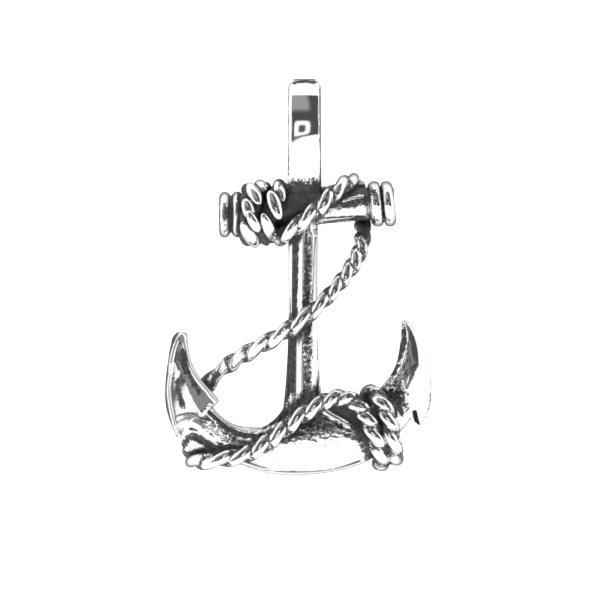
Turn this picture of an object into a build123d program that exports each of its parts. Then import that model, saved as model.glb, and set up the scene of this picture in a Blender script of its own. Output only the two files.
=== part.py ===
from build123d import *
import math
import os

# An anchor with a two-strand rope wound about it, lying on its back.
# X runs along the stock, Y up the shank to the bail, Z out of the front.
# The origin is under the middle of the whole piece. Sizes are in mm.

# Where the members cross
shank_x = 0.55
stock_y = 8.07
arms_centre_y = -6.1
body_z = 4.2

# Shank, an eight-sided bar
shank_width = 3.35
shank_depth = 3.4
shank_bevel = 0.85
shank_foot_width = 4.1

# Stock, a round bar with a slight bow, and two rings at each end
stock_left = 9.6
stock_right = 10.65
stock_step = 0.92
stock_radius = 2.2
left_collar_tilt = 0.0
right_collar_tilt = 6.5
collar_radius = 2.65
collar_bead = 0.64
collar_spacing = 1.45
collar_inset = 0.6

# Bail, a flat strap folded into a loop
bail_height = 14.74
bail_width = 3.75
bail_root_width = 3.95
bail_depth = 6.95
bail_wall = 1.15
bail_corner = 0.6
bail_shift = 0.17
bail_knee = 4.6
bail_heel = 3.7
bail_lean = 0.75
bail_past = 1.0
no_fillet = 0.01

# Arms, swept about arms_centre_y
arm_radius = 13.8
arm_width = 5.7
arm_depth = 3.9
arm_inner_edge = 1.7
arm_outer_edge = 0.8
arm_crest_share = 0.1

# Flukes: degrees from straight down, radius and width at the barbs
left_barb_angle = -49.5
left_tip_angle = -89.0
left_fluke_radius = 15.87
left_fluke_width = 6.4
right_barb_angle = 50.5
right_tip_angle = 95.5
right_fluke_radius = 14.09
right_fluke_width = 6.55
fluke_edge = 0.7
fluke_front = 1.35
fluke_back = 0.95
fluke_ridge_share = 0.39
fluke_edge_least = 0.6

# Webs that fill the corners between the shank and the arms
web_depth = 2.5

# Rope
strand_radius = 0.64
strand_offset = 0.385
rope_pitch = 5.4
rings_per_pitch = 10
rope_clearance = 0.1
lashing_turns = 2
lashing_pitch = 1.62
lashing_start = -6.36
lashing_girth = 0.76

rope_radius = strand_radius + strand_offset
bail_top = stock_y + bail_height


# Stock sections
# along: share of its length from the left; rise: share of stock_step, from the
# crossing's height; radius: share of stock_radius
stock_stations = [
    {"along": 0.00, "rise": -1.00, "radius": 0.86},
    {"along": 0.14, "rise": -0.93, "radius": 0.84},
    {"along": 0.30, "rise": -0.62, "radius": 0.86},
    {"along": 0.46, "rise": -0.05, "radius": 1.00},
    {"along": 0.62, "rise": 0.22, "radius": 0.97},
    {"along": 0.76, "rise": 0.33, "radius": 0.90},
    {"along": 0.86, "rise": 0.35, "radius": 0.82},
    {"along": 1.00, "rise": 0.36, "radius": 0.84},
]
stock_length = stock_left + stock_right
stock_axis = Spline(
    [
        (shank_x - stock_left + row["along"] * stock_length, stock_y + row["rise"] * stock_step, body_z)
        for row in stock_stations
    ]
)


def stock_plane(along):
    # a plane across the stock, its own X axis up the pendant
    origin = stock_axis.position_at(along)
    direction = stock_axis.tangent_at(along)
    return Plane(origin=origin, x_dir=Vector(0, 0, 1).cross(direction), z_dir=direction)


def stock_radius_at(along):
    for near, far in zip(stock_stations, stock_stations[1:]):
        if along <= far["along"]:
            share = (along - near["along"]) / (far["along"] - near["along"])
            return stock_radius * (near["radius"] + share * (far["radius"] - near["radius"]))
    return stock_radius * stock_stations[-1]["radius"]


with BuildPart() as stock:
    for station in stock_stations:
        with BuildSketch(stock_plane(station["along"])):
            Circle(stock_radius * station["radius"])
    loft()
    for end, inward, tilt in ((0, 1, left_collar_tilt), (1, -1, right_collar_tilt)):
        for ring in range(2):
            step = collar_inset + ring * collar_spacing
            middle = stock_axis.position_at(end + inward * step / stock_axis.length)
            facing = Vector(1, 0, 0).rotate(Axis.Z, tilt)
            with Locations(Plane(origin=middle, z_dir=facing)):
                Torus(collar_radius - collar_bead, collar_bead)


# Shank
# y: height; width, depth: shares of the width there and of shank_depth
shank_stations = [
    {"y": stock_y, "width": shank_width, "depth": 1.0},
    {"y": stock_y - 13.0, "width": shank_width, "depth": 1.0},
    {"y": arms_centre_y - 0.5 * arm_radius, "width": shank_foot_width, "depth": 1.04},
    {"y": arms_centre_y - 0.85 * arm_radius, "width": 1.3 * shank_foot_width, "depth": 1.06},
]

with BuildPart() as shank:
    for station in shank_stations:
        plane = Plane(origin=(shank_x, station["y"], body_z), x_dir=(1, 0, 0), z_dir=(0, 1, 0))
        with BuildSketch(plane):
            Rectangle(station["width"], shank_depth * station["depth"])
            chamfer(vertices(), shank_bevel)
    loft()


# Bail: its side outline, cut to its front outline
root_y = stock_y + 0.5
knee_y = stock_y + bail_knee
heel_y = stock_y + bail_heel
outer_bend = bail_depth / 2 - no_fillet
inner_bend = outer_bend - bail_wall

# y, z: mm; fillet: radius of the bend
bail_side = [
    {"y": root_y, "z": bail_depth - bail_lean, "fillet": no_fillet},
    {"y": knee_y, "z": bail_depth, "fillet": 4.0},
    {"y": bail_top, "z": bail_depth, "fillet": outer_bend},
    {"y": bail_top, "z": 0, "fillet": outer_bend},
    {"y": heel_y, "z": 0, "fillet": 3.0},
    {"y": root_y, "z": body_z - stock_radius * 0.6, "fillet": no_fillet},
    {"y": root_y + bail_wall, "z": body_z - stock_radius * 0.2, "fillet": no_fillet},
    {"y": heel_y + 0.5, "z": bail_wall, "fillet": 1.8},
    {"y": bail_top - bail_wall, "z": bail_wall, "fillet": inner_bend},
    {"y": bail_top - bail_wall, "z": bail_depth - bail_wall, "fillet": inner_bend},
    {"y": knee_y, "z": bail_depth - bail_wall, "fillet": 3.0},
    {"y": root_y, "z": bail_depth - bail_lean - bail_wall, "fillet": no_fillet},
]
bail_middle = stock_y + bail_height / 2

# across: half widths to the right of the strap's middle
bail_front = [
    {"across": -bail_root_width / 2, "y": stock_y - bail_past, "fillet": no_fillet},
    {"across": -bail_width / 2, "y": bail_middle, "fillet": 9.0},
    {"across": -bail_width / 2, "y": bail_top, "fillet": bail_corner},
    {"across": bail_width / 2, "y": bail_top, "fillet": bail_corner},
    {"across": bail_width / 2, "y": bail_middle, "fillet": 9.0},
    {"across": bail_root_width / 2, "y": stock_y - bail_past, "fillet": no_fillet},
]

with BuildPart() as bail:
    with BuildSketch(Plane.YZ.offset(shank_x + bail_shift)):
        with BuildLine():
            corners = [(row["y"], row["z"]) for row in bail_side]
            FilletPolyline(corners, radius=[row["fillet"] for row in bail_side], close=True)
        make_face()
    extrude(amount=bail_root_width, both=True)
    with BuildSketch(Plane.XY.offset(-bail_past)):
        with BuildLine():
            corners = [(shank_x + bail_shift + row["across"], row["y"]) for row in bail_front]
            FilletPolyline(corners, radius=[row["fillet"] for row in bail_front], close=True)
        make_face()
    extrude(amount=bail_depth + 2 * bail_past, mode=Mode.INTERSECT)


# Arms and flukes: sections in planes that stand on rays from one centre
def ray_plane(angle, radius):
    # the plane's own X axis points away from the centre, its Y axis to the front
    turn = math.radians(angle)
    outward = Vector(math.sin(turn), -math.cos(turn), 0)
    centre = Vector(shank_x, arms_centre_y, body_z)
    return Plane(origin=centre + outward * radius, x_dir=outward, z_dir=outward.cross(Vector(0, 0, 1)))


# angle: degrees; radius, width, depth: shares of the arms' own sizes
arm_stations = [
    {"angle": -51, "radius": 1.155, "width": 0.80, "depth": 0.62},
    {"angle": -38, "radius": 1.155, "width": 0.84, "depth": 0.80},
    {"angle": -25, "radius": 1.072, "width": 0.84, "depth": 0.93},
    {"angle": -10, "radius": 1.021, "width": 0.98, "depth": 1.00},
    {"angle": 2, "radius": 1.000, "width": 1.00, "depth": 1.00},
    {"angle": 14, "radius": 1.010, "width": 0.97, "depth": 1.00},
    {"angle": 25, "radius": 1.036, "width": 0.88, "depth": 0.98},
    {"angle": 34, "radius": 1.036, "width": 0.79, "depth": 0.96},
    {"angle": 43, "radius": 1.022, "width": 0.74, "depth": 0.92},
    {"angle": 52, "radius": 1.000, "width": 0.76, "depth": 0.72},
]

with BuildPart() as arms:
    for station in arm_stations:
        half = arm_width * station["width"] / 2
        crest = arm_depth * station["depth"] / 2
        inner = arm_inner_edge * station["depth"] / 2
        outer = arm_outer_edge / 2
        with BuildSketch(ray_plane(station["angle"], arm_radius * station["radius"])):
            with BuildLine():
                Line((-half, -inner), (-half, inner))
                ThreePointArc((-half, inner), (half * arm_crest_share, crest), (half, outer))
                Line((half, outer), (half, -outer))
                ThreePointArc((half, -outer), (half * arm_crest_share, -crest), (-half, -inner))
            make_face()
    loft()


# along: share of the way from barbs to tip; radius, width, depth: shares
left_fluke_stations = [
    {"along": 0.000, "radius": 1.000, "width": 1.00, "depth": 1.00},
    {"along": 0.215, "radius": 0.979, "width": 0.88, "depth": 0.95},
    {"along": 0.418, "radius": 0.960, "width": 0.67, "depth": 0.80},
    {"along": 0.595, "radius": 0.936, "width": 0.49, "depth": 0.68},
    {"along": 0.772, "radius": 0.911, "width": 0.35, "depth": 0.55},
    {"along": 0.924, "radius": 0.890, "width": 0.21, "depth": 0.42},
    {"along": 1.000, "radius": 0.882, "width": 0.08, "depth": 0.32},
]
right_fluke_stations = [
    {"along": 0.000, "radius": 1.014, "width": 0.95, "depth": 1.00},
    {"along": 0.162, "radius": 1.004, "width": 0.91, "depth": 0.95},
    {"along": 0.300, "radius": 0.986, "width": 0.78, "depth": 0.86},
    {"along": 0.455, "radius": 0.953, "width": 0.62, "depth": 0.76},
    {"along": 0.610, "radius": 0.916, "width": 0.49, "depth": 0.66},
    {"along": 0.767, "radius": 0.884, "width": 0.36, "depth": 0.55},
    {"along": 0.911, "radius": 0.850, "width": 0.20, "depth": 0.42},
    {"along": 1.000, "radius": 0.828, "width": 0.07, "depth": 0.32},
]


def fluke_section(half, depth):
    edge = fluke_edge * max(depth, fluke_edge_least) / 2
    ridge = half * (2 * fluke_ridge_share - 1)
    Polyline(
        (-half, -edge),
        (-half, edge),
        (ridge, fluke_front * depth),
        (half, edge),
        (half, -edge),
        (ridge, -fluke_back * depth),
        close=True,
    )


with BuildPart() as left_fluke:
    for station in left_fluke_stations:
        angle = left_barb_angle + station["along"] * (left_tip_angle - left_barb_angle)
        with BuildSketch(ray_plane(angle, left_fluke_radius * station["radius"])):
            with BuildLine():
                fluke_section(left_fluke_width * station["width"] / 2, station["depth"])
            make_face()
    loft()

with BuildPart() as right_fluke:
    for station in right_fluke_stations:
        angle = right_barb_angle + station["along"] * (right_tip_angle - right_barb_angle)
        with BuildSketch(ray_plane(angle, right_fluke_radius * station["radius"])):
            with BuildLine():
                fluke_section(right_fluke_width * station["width"] / 2, station["depth"])
            make_face()
    loft()


# Webs
# across, down: shares of arm_radius from the arms' centre
web_corners = [
    {"across": -0.384, "down": 0.826},
    {"across": -0.210, "down": 0.717},
    {"across": -0.130, "down": 0.406},
    {"across": 0.130, "down": 0.406},
    {"across": 0.181, "down": 0.558},
    {"across": 0.304, "down": 0.609},
    {"across": 0.551, "down": 0.674},
    {"across": 0.551, "down": 1.000},
    {"across": -0.384, "down": 1.000},
]
web_points = []
for row in web_corners:
    across = shank_x + row["across"] * arm_radius
    web_points.append((across, arms_centre_y - row["down"] * arm_radius))

with BuildPart() as webs:
    with BuildSketch(Plane.XY.offset(body_z - web_depth / 2)):
        with BuildLine():
            ThreePointArc(*web_points[0:3])
            Line(*web_points[2:4])
            ThreePointArc(*web_points[3:6])
            Polyline(*web_points[5:], web_points[0])
        make_face()
    extrude(amount=web_depth)


# The anchor is one casting
with BuildPart() as anchor:
    add(stock.part)
    add(shank.part)
    add(arms.part)
    add(webs.part)
    add(left_fluke.part)
    add(right_fluke.part)
    add(bail.part)


# Rope: the control points of its centre line
def about_stock(reach, angle, girth, lift, step_angle):
    # a point beside the stock: reach from the shank, angle from the front over the top
    along = (reach + stock_left) / stock_length
    plane = stock_plane(along)
    radius = stock_radius_at(along) + rope_clearance + rope_radius * girth + lift
    # the curve runs inside its control points, so they stand further out
    radius *= 2 / (1 + math.cos(math.radians(step_angle / 2)) ** 2)
    turn = math.radians(angle)
    return plane.origin + plane.x_dir * radius * math.sin(turn) + Vector(0, 0, radius * math.cos(turn))


lashing_step = 45
route = []
girths = []
for step in range(-1, round(lashing_turns * 360 / lashing_step) + 1):
    reach = lashing_start + lashing_pitch * step * lashing_step / 360
    route.append(about_stock(reach, 270 + lashing_step * step, lashing_girth, 0, lashing_step))
    girths.append(lashing_girth)

# reach: right of the shank; angle: degrees about the stock from the front;
# girth: share of the rope's full size; lift: mm off the stock
crossing_step = 20
crossing_route = [
    {"reach": -3.10, "angle": 285, "girth": 0.80, "lift": 0.20},
    {"reach": -2.95, "angle": 300, "girth": 0.86, "lift": 0.45},
    {"reach": -2.50, "angle": 311, "girth": 0.92, "lift": 0.65},
    {"reach": -1.75, "angle": 318, "girth": 0.97, "lift": 0.62},
    {"reach": -0.70, "angle": 328, "girth": 1.00, "lift": 0.35},
    {"reach": 0.40, "angle": 339, "girth": 1.00, "lift": 0.12},
    {"reach": 1.50, "angle": 351, "girth": 1.00, "lift": 0.05},
    {"reach": 2.50, "angle": 365, "girth": 1.00, "lift": 0.00},
    {"reach": 3.35, "angle": 380, "girth": 0.98, "lift": 0.00},
    {"reach": 4.10, "angle": 394, "girth": 0.95, "lift": 0.00},
    {"reach": 4.75, "angle": 409, "girth": 0.86, "lift": 0.00},
    {"reach": 5.35, "angle": 427, "girth": 0.78, "lift": 0.02},
    {"reach": 5.85, "angle": 452, "girth": 0.72, "lift": 0.05},
    {"reach": 6.30, "angle": 487, "girth": 0.74, "lift": 0.18},
    {"reach": 6.65, "angle": 530, "girth": 0.80, "lift": 0.25},
    {"reach": 6.85, "angle": 575, "girth": 0.90, "lift": 0.15},
    {"reach": 6.92, "angle": 618, "girth": 1.00, "lift": 0.05},
]
for row in crossing_route:
    route.append(about_stock(row["reach"], row["angle"], row["girth"], row["lift"], crossing_step))
    girths.append(row["girth"])

# x, y: mm; level: -1 behind the anchor, 1 in front of it
free_route = [
    {"x": 7.40, "y": 4.20, "level": 0.22},
    {"x": 7.15, "y": 3.00, "level": 0.42},
    {"x": 6.45, "y": 1.60, "level": 0.58},
    {"x": 5.45, "y": 0.15, "level": 0.72},
    {"x": 4.10, "y": -1.50, "level": 0.86},
    {"x": 2.50, "y": -3.20, "level": 0.95},
    {"x": 0.45, "y": -4.95, "level": 0.97},
    {"x": -2.00, "y": -6.65, "level": 0.90},
    {"x": -4.50, "y": -8.05, "level": 0.62},
    {"x": -6.70, "y": -9.25, "level": 0.14},
    {"x": -8.65, "y": -10.60, "level": -0.48},
    {"x": -10.05, "y": -11.85, "level": -0.88},
    {"x": -11.05, "y": -13.20, "level": -1.02},
    {"x": -11.75, "y": -14.85, "level": -1.00},
]

# across, down: shares of arm_radius from the arms' centre; the second length starts here
arm_route = [
    {"across": -0.9239, "down": 0.7536, "level": -1.00},
    {"across": -0.9384, "down": 0.8659, "level": -1.00},
    {"across": -0.9384, "down": 0.9710, "level": -0.92},
    {"across": -0.9384, "down": 1.0725, "level": -0.55},
    {"across": -0.9167, "down": 1.1377, "level": 0.00},
    {"across": -0.8514, "down": 1.1486, "level": 0.50},
    {"across": -0.7464, "down": 1.1123, "level": 0.80},
    {"across": -0.6196, "down": 1.0833, "level": 0.92},
    {"across": -0.4891, "down": 1.0399, "level": 0.98},
    {"across": -0.3623, "down": 0.9783, "level": 1.00},
    {"across": -0.2174, "down": 0.8696, "level": 1.00},
    {"across": -0.0580, "down": 0.7391, "level": 1.00},
    {"across": 0.0833, "down": 0.6413, "level": 1.00},
    {"across": 0.2210, "down": 0.5688, "level": 0.97},
    {"across": 0.3333, "down": 0.5543, "level": 0.93},
    {"across": 0.4275, "down": 0.5906, "level": 0.93},
    {"across": 0.4964, "down": 0.6630, "level": 0.97},
    {"across": 0.5507, "down": 0.7609, "level": 1.00},
    {"across": 0.6014, "down": 0.8877, "level": 1.00},
    {"across": 0.6413, "down": 1.0181, "level": 0.84},
    {"across": 0.6558, "down": 1.1123, "level": 0.38},
    {"across": 0.6486, "down": 1.1413, "level": -0.20},
    {"across": 0.6341, "down": 1.0978, "level": -0.76},
    {"across": 0.6159, "down": 0.9928, "level": -1.00},
    {"across": 0.5906, "down": 0.8551, "level": -1.02},
    {"across": 0.5652, "down": 0.7210, "level": -1.00},
    {"across": 0.5435, "down": 0.6087, "level": -0.82},
    {"across": 0.5399, "down": 0.5326, "level": -0.28},
    {"across": 0.5630, "down": 0.5036, "level": 0.38},
    {"across": 0.6159, "down": 0.5507, "level": 0.80},
    {"across": 0.6703, "down": 0.6268, "level": 0.98},
    {"across": 0.7101, "down": 0.7428, "level": 1.00},
    {"across": 0.7428, "down": 0.8986, "level": 0.96},
    {"across": 0.7645, "down": 1.0145, "level": 0.66},
    {"across": 0.7681, "down": 1.0761, "level": 0.12},
    {"across": 0.7645, "down": 1.0580, "level": -0.50},
    {"across": 0.7572, "down": 0.9710, "level": -0.94},
    {"across": 0.7500, "down": 0.8551, "level": -1.02},
    {"across": 0.7428, "down": 0.7536, "level": -1.02},
]

level_height = arm_depth / 2 + rope_clearance + rope_radius
for row in free_route:
    route.append(Vector(row["x"], row["y"], body_z + row["level"] * level_height))
    girths.append(1)
for row in arm_route:
    x = shank_x + row["across"] * arm_radius
    y = arms_centre_y - row["down"] * arm_radius
    route.append(Vector(x, y, body_z + row["level"] * level_height))
    girths.append(1)

# a smooth line with the route's points as its control points
with BuildLine() as rope_line:
    spans = []
    start = route[0]
    for index in range(1, len(route) - 1):
        end = (route[index] + route[index + 1]) * 0.5
        if index == len(route) - 2:
            end = route[-1]
        spans.append(Bezier(start, route[index], end).length)
        start = end
rope_wire = rope_line.wires()[0]
print("rope length", round(rope_wire.length, 1))


def girth_at(travelled):
    # the girth eases from one control point's to the next over each span
    for index, span in enumerate(spans):
        if travelled <= span or index == len(spans) - 1:
            return girths[index] + (girths[index + 1] - girths[index]) * min(travelled / span, 1)
        travelled -= span


# Rope: rings of a two-lobed section that turn as they go
def lobed_outline(share):
    outline = []
    waist = math.sqrt(strand_radius**2 - strand_offset**2) * share
    for side in (1, -1):
        for degrees in (-90, -45, 0, 45, 90):
            turn = math.radians(degrees)
            along = side * (strand_offset + strand_radius * math.cos(turn)) * share
            across = side * strand_radius * math.sin(turn) * share
            outline.append((along, across))
        outline.append((0, side * waist))
    return outline


ring_count = round(rope_wire.length / rope_pitch * rings_per_pitch)

rings = []
centres = []
across = Vector(0, 0, 1)
for index in range(ring_count + 1):
    position = index / ring_count
    travelled = rope_wire.length * position
    centre = rope_wire.position_at(position)
    direction = rope_wire.tangent_at(position)
    across = (across - direction * across.dot(direction)).normalized()
    beside = direction.cross(across)
    turn = -2 * math.pi * travelled / rope_pitch
    ring = []
    for along, aside in lobed_outline(girth_at(travelled)):
        u = along * math.cos(turn) - aside * math.sin(turn)
        v = along * math.sin(turn) + aside * math.cos(turn)
        ring.append(centre + across * u + beside * v)
    rings.append(ring)
    centres.append(centre)


def rope_solid(first, last):
    faces = []
    for near, far in zip(rings[first:last], rings[first + 1:last + 1]):
        for corner in range(len(near)):
            after = (corner + 1) % len(near)
            faces.append(Face(Wire.make_polygon([near[corner], near[after], far[after]])))
            faces.append(Face(Wire.make_polygon([near[corner], far[after], far[corner]])))
    faces.append(Face(Wire.make_polygon(rings[first])))
    faces.append(Face(Wire.make_polygon(rings[last])))
    return Solid(Shell(faces))


# the two lengths meet behind the left fluke
joint_point = route[len(route) - len(arm_route)]
joint_ring = min(range(ring_count), key=lambda index: (centres[index] - joint_point).length)

with BuildPart() as upper_rope:
    add(rope_solid(0, joint_ring))

with BuildPart() as lower_rope:
    add(rope_solid(joint_ring, ring_count))


# Each piece goes out as its own file
os.makedirs("parts", exist_ok=True)
for name, piece in (("anchor", anchor), ("upper_rope", upper_rope), ("lower_rope", lower_rope)):
    piece.part.label = name
    export_step(piece.part, "parts/" + name + ".step")
    box = piece.part.bounding_box()
    print(name, len(piece.part.solids()), "solid", round(piece.part.volume, 2), "mm3", box.min, box.max)
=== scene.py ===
import math

import bmesh
import bpy
import numpy as np
from mathutils import Matrix, Vector, noise
from mathutils.bvhtree import BVHTree
from mathutils.kdtree import KDTree


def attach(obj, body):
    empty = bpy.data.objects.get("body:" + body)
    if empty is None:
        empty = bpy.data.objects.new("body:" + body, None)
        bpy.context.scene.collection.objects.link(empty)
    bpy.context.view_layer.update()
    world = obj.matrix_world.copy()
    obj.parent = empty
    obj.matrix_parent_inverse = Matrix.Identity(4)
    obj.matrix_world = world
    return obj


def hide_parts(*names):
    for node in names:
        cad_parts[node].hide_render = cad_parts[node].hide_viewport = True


# An anchor pendant in cast silver, dark in its recesses, wound with a twisted rope.
# Pieces are modelled in millimetres and shrunk to metres at the end.
mm = 0.001

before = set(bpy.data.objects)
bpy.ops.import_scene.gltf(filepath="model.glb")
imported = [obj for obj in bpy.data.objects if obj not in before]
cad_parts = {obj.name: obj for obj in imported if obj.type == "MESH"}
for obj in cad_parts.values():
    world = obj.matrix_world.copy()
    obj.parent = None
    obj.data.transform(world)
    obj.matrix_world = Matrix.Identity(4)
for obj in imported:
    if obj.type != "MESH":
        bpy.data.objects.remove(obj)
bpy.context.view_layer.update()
print("frame loaded", sorted(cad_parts))


# Camera: straight above the pendant, which lies on its back
cameraView = {
    "middle": (0.207, -2.66),   # mm, what the middle of the picture looks at
    "width": 69.0,              # mm across the picture at the pendant's middle
    "level": 4.2,
    "lens": 250.0,
    "sensor": 36.0,
    "clip": (0.01, 10.0),       # metres
}


def makeCamera(view):
    data = bpy.data.cameras.new("camera")
    data.lens = view["lens"]
    data.sensor_width = view["sensor"]
    away = view["width"] * view["lens"] / view["sensor"]
    data.clip_start, data.clip_end = view["clip"]
    camera = bpy.data.objects.new("camera", data)
    camera.location = Vector((view["middle"][0], view["middle"][1], view["level"] + away)) * mm
    bpy.context.scene.collection.objects.link(camera)
    bpy.context.scene.camera = camera


makeCamera(cameraView)


# Shader maths
class Wire:
    def __init__(self, tree, socket):
        self.tree = tree
        self.socket = socket

    def node(self, kind, settings=None, inputs=None, out=0):
        made = self.tree.nodes.new("ShaderNode" + kind)
        for name, value in (settings or {}).items():
            setattr(made, name, value)
        for name, value in (inputs or {}).items():
            if isinstance(value, Wire):
                self.tree.links.new(value.socket, made.inputs[name])
            else:
                made.inputs[name].default_value = value
        return Wire(self.tree, made.outputs[out] if made.outputs else None)

    def maths(self, operation, first, second=0.0):
        return self.node("Math", {"operation": operation}, {0: first, 1: second})

    def __add__(self, other):
        return self.maths("ADD", self, other)

    def __radd__(self, other):
        return self.maths("ADD", other, self)

    def __sub__(self, other):
        return self.maths("SUBTRACT", self, other)

    def __rsub__(self, other):
        return self.maths("SUBTRACT", other, self)

    def __mul__(self, other):
        return self.maths("MULTIPLY", self, other)

    def __rmul__(self, other):
        return self.maths("MULTIPLY", other, self)

    def __pow__(self, other):
        return self.maths("POWER", self, other)

    def ease(self, low, high):
        limits = {"Value": self, "From Min": low, "From Max": high}
        return self.node("MapRange", {"interpolation_type": "SMOOTHSTEP"}, limits)

    def mixed(self, low, high):
        # low where the mask is 0, high where it is 1
        return low + (high - low) * self


def grey(shade):
    return (shade, shade, shade, 1.0)


def startMaterial(name):
    material = bpy.data.materials.new(name)
    material.use_nodes = True
    tree = material.node_tree
    tree.nodes.clear()
    return material, Wire(tree, None)


# near, far and pitDepth are in mm; clean is how readily the high places are polished bright
silverLook = {
    "bright": 0.93,
    # the dark and stain colours below serve the tarnish and also the painted shade and painted reflections
    "dark": 0.055,
    "stainAndShade": 0.13,
    "stainFade": (0.38, 0.66),
    "brightRough": 0.07,
    "rubbedRough": 0.25,
    "darkRough": 0.5,
    "darkMetal": 0.25,
    "near": 0.7,
    "far": 2.4,
    "nearShare": 0.55,
    "occlusionSamples": 8,
    "fineScale": 5200.0,
    "broadScale": 1500.0,
    "fineGrain": 0.30,
    "broadGrain": 0.24,
    "speckle": 4.5,
    "speckleLimit": 0.42,
    "tarnishAndShadeShare": 0.5,
    "cleanEdge": 0.05,
    "pitStrength": 0.5,
    "pitDepth": 0.05,
}
castClean = 0.86
ropeClean = 0.72


def makeSilver(name, look, clean):
    material, shader = startMaterial(name)

    def openPlaces(distance):
        settings = {"samples": look["occlusionSamples"]}
        return shader.node("AmbientOcclusion", settings, {"Distance": distance * mm}, out="AO")

    def grain(scale, detail):
        return shader.node("TexNoise", inputs={"Vector": place, "Scale": scale, "Detail": detail})

    def blend(mask, low, high):
        return shader.node("Mix", {"data_type": "RGBA"}, {0: mask, 6: low, 7: high}, out=2)

    place = shader.node("TexCoord", out="Object")
    near = openPlaces(look["near"])
    far = openPlaces(look["far"])
    fine = grain(look["fineScale"], 4.0)
    broad = grain(look["broadScale"], 3.0)
    # this attribute holds the real tarnish and also painted shade and painted reflections; above 0 it
    # darkens the surface, below 0 it keeps it clean
    tarnishAndShade = shader.node("Attribute", {"attribute_name": "tarnishAndShade"}, out="Fac")
    ragged = (fine - 0.5) * look["fineGrain"] + (broad - 0.5) * look["broadGrain"]
    tarnishedAndShaded = shader.maths("MAXIMUM", tarnishAndShade, 0.0)
    speckle = 1 + shader.maths("MINIMUM", tarnishedAndShaded, look["speckleLimit"]) * look["speckle"]
    rubbed = shader.maths("MAXIMUM", tarnishAndShade * -1.0, 0.0)
    openness = near * look["nearShare"] + far * (1 - look["nearShare"])
    openness = openness - tarnishAndShade * look["tarnishAndShadeShare"] + ragged * speckle
    mask = openness.ease(clean - look["cleanEdge"], clean + look["cleanEdge"])
    clouds = (broad * 0.5 + fine * 0.5).ease(*look["stainFade"])
    # the dark colour of tarnished places and of the painted shade and painted reflections
    stainAndShade = blend(clouds, grey(look["dark"]), grey(look["stainAndShade"]))
    pits = shader.node("Bump", inputs={
        "Height": fine, "Strength": mask.mixed(look["pitStrength"], 0.0), "Distance": look["pitDepth"] * mm,
    })
    surface = shader.node("BsdfPrincipled", inputs={
        "Base Color": blend(mask, stainAndShade, grey(look["bright"])),
        "Roughness": mask.mixed(look["darkRough"], look["brightRough"] + rubbed * look["rubbedRough"]),
        "Metallic": mask.mixed(look["darkMetal"], 1.0),
        "Normal": pits,
    })
    shader.node("OutputMaterial", inputs={"Surface": surface})
    return material


silver = makeSilver("castSilver", silverLook, castClean)
ropeSilver = makeSilver("ropeSilver", silverLook, ropeClean)


# Helpers that keep pieces in mm until they are done
def linkMesh(name, mesh):
    piece = bpy.data.objects.new(name, mesh)
    bpy.context.scene.collection.objects.link(piece)
    return piece


def bakedMesh(piece):
    # the piece's mesh with its modifiers applied; the piece itself goes
    bpy.context.view_layer.update()
    shaped = piece.evaluated_get(bpy.context.evaluated_depsgraph_get())
    mesh = bpy.data.meshes.new_from_object(shaped)
    bpy.data.objects.remove(piece)
    return mesh


def smoothLine(points):
    # the points of a NURBS line that has these control points
    data = bpy.data.curves.new("line", "CURVE")
    data.dimensions = "3D"
    spline = data.splines.new("NURBS")
    spline.points.add(len(points) - 1)
    for point, place in zip(spline.points, points):
        point.co = (*place, 1.0)
    spline.order_u = 3
    spline.use_endpoint_u = True
    data.resolution_u = 16
    mesh = bakedMesh(linkMesh("line", data))
    line = np.array([vertex.co for vertex in mesh.vertices])
    bpy.data.meshes.remove(mesh)
    return line


def soften(piece, rounds):
    smooth = piece.modifiers.new("soften", "SMOOTH")
    smooth.factor = 0.5
    smooth.iterations = rounds


def fuse(name, mesh, voxel, rounds):
    # one closed skin round all that the mesh holds, with cast-looking corners
    piece = linkMesh(name, mesh)
    skin = piece.modifiers.new("skin", "REMESH")
    skin.mode = "VOXEL"
    skin.voxel_size = voxel
    soften(piece, rounds)
    return bakedMesh(piece)


def softened(name, mesh, rounds):
    piece = linkMesh(name, mesh)
    soften(piece, rounds)
    return bakedMesh(piece)


def thinned(name, mesh, limit):
    triangles = sum(len(face.vertices) - 2 for face in mesh.polygons)
    if triangles > limit:
        piece = linkMesh(name, mesh)
        thin = piece.modifiers.new("thin", "DECIMATE")
        thin.ratio = limit / triangles
        mesh = bakedMesh(piece)
    print(name, triangles, "triangles, kept", len(mesh.polygons))
    return mesh


def finishPiece(name, mesh, material, nodes):
    mesh.transform(Matrix.Scale(mm, 4))
    mesh.shade_smooth()
    mesh.materials.clear()
    mesh.materials.append(material)
    piece = linkMesh(name, mesh)
    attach(piece, "root")
    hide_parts(*nodes)
    return piece


# Anchor casting
castShape = {
    "voxel": 0.09,
    "softening": 8,
    "polish": 3,
    "triangles": 190000,
    "weld": 0.0005,
    "armsCentre": (0.55, -6.10),
    "skyLevel": 20.0,
    "thinnest": 0.5,
    "sculptLevel": 1.2,         # carving and the tarnish and painted shade set in above these heights
    "tarnishAndShadeLevel": 1.6,
    "frontLevel": 2.6,          # what lies above this height belongs to the front
    "grainSizes": (0.42, 0.21),
    "fineGrainShare": 0.6,
}

# how high the strap's front lies along it, from its root up to its round top
strapFront = [
    (9.0, 5.94), (10.5, 6.17), (12.0, 6.40), (13.2, 6.57), (14.2, 6.72), (15.1, 6.88), (15.8, 6.97),
    (16.4, 7.02), (17.2, 7.04), (18.0, 7.02), (18.7, 6.95), (19.4, 6.84), (20.0, 6.69), (20.6, 6.44),
    (21.0, 6.20), (21.5, 5.80), (22.0, 5.30), (22.3, 4.93), (22.65, 4.30),
]
strapRange = {
    "sides": (-1.35, 2.95), "fadeIn": (8.7, 9.8), "fadeOut": (22.2, 22.7), "back": (3.4, 4.6),
    "crownAt": -0.15, "crownRadius": 14.0, "twist": 0.05, "twistAt": 15.3, "twistReach": 0.9,
    "sideFall": 1.4, "sideWidth": 0.4, "corner": 0.95, "top": 22.80, "edges": (-1.10, 2.58), "samples": 90,
}

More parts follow.
